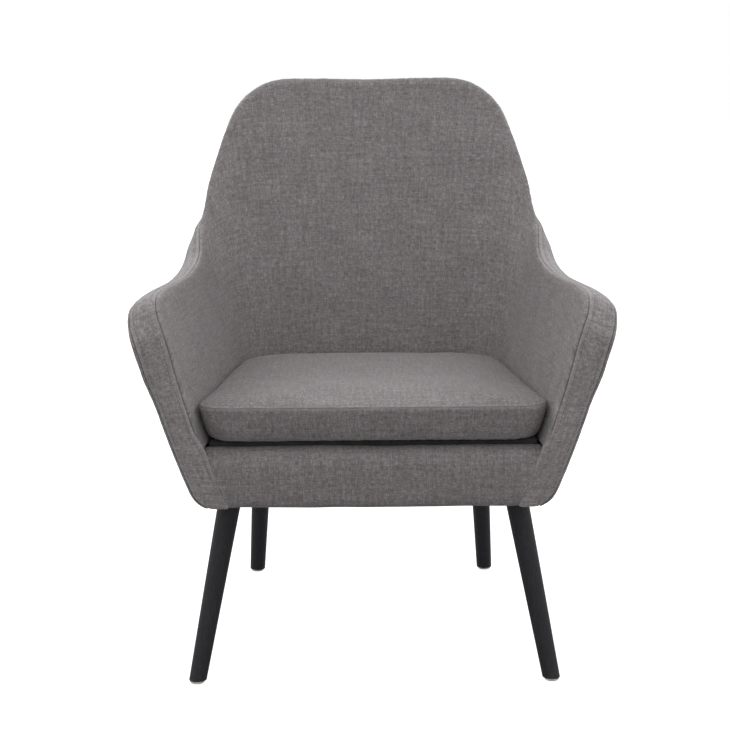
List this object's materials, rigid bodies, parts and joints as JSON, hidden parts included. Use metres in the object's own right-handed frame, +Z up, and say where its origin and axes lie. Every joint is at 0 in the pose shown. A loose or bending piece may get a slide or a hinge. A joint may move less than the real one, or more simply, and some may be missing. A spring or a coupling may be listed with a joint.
{
  "type": "upholstered armchair",
  "caption": "Upholstered armchair with a curved back that runs into flared arms, a loose seat cushion and splayed tapered round legs.",
  "frame": {"origin": "on the floor under the middle of the chair's overall box", "axes": "+Z up, the sitter faces -Y, +X towards the arm on the right when the chair is seen from the front"},
  "size_m": [0.7142, 0.7197, 0.8596],
  "materials": {
    "upholstery_fabric": "warm grey linen-look melange weave, matt",
    "plywood": "unfinished bent plywood",
    "frame_timber": "sawn softwood",
    "webbing": "black elastic webbing",
    "deck_lining": "black felted lining",
    "dust_cover_cloth": "black spunbond cloth",
    "stained_wood": "near-black stain under matt lacquer",
    "zinc_steel": "zinc plated",
    "pale_plastic": "moulded, matt"
  },
  "bodies": {
    "chair": {"inner_back_pad": "upholstery_fabric", "inner_arm_left_pad": "upholstery_fabric", "inner_arm_right_pad": "upholstery_fabric", "outer_back_pad": "upholstery_fabric", "outer_arm_left_pad": "upholstery_fabric", "outer_arm_right_pad": "upholstery_fabric", "edge_band_back": "upholstery_fabric", "edge_band_arm_left": "upholstery_fabric", "edge_band_arm_right": "upholstery_fabric", "front_apron_pad": "upholstery_fabric", "plywood_shell": "plywood", "front_rail": "frame_timber", "rear_rail": "frame_timber", "left_rail": "frame_timber", "right_rail": "frame_timber", "front_corner_block_left": "frame_timber", "front_corner_block_right": "frame_timber", "rear_corner_block_left": "frame_timber", "rear_corner_block_right": "frame_timber", "webbing_lengthwise_1": "webbing", "webbing_lengthwise_2": "webbing", "webbing_lengthwise_3": "webbing", "webbing_lengthwise_4": "webbing", "webbing_crosswise_1": "webbing", "webbing_crosswise_2": "webbing", "webbing_crosswise_3": "webbing", "seat_deck_pad": "deck_lining", "dust_cover": "dust_cover_cloth", "leg_front_left": "stained_wood", "hanger_bolt_front_left": "zinc_steel", "insert_nut_front_left": "zinc_steel", "foot_glide_front_left": "pale_plastic", "leg_front_right": "stained_wood", "hanger_bolt_front_right": "zinc_steel", "insert_nut_front_right": "zinc_steel", "foot_glide_front_right": "pale_plastic", "leg_rear_left": "stained_wood", "hanger_bolt_rear_left": "zinc_steel", "insert_nut_rear_left": "zinc_steel", "foot_glide_rear_left": "pale_plastic", "leg_rear_right": "stained_wood", "hanger_bolt_rear_right": "zinc_steel", "insert_nut_rear_right": "zinc_steel", "foot_glide_rear_right": "pale_plastic"},
    "cushion": {"seat_cushion": "upholstery_fabric"}
  },
  "joints": [
    {"name": "cushion_lift", "type": "slide", "parent": "chair", "child": "cushion", "axis": [0, 0, 1], "range_m": [0, 0.3]}
  ]
}
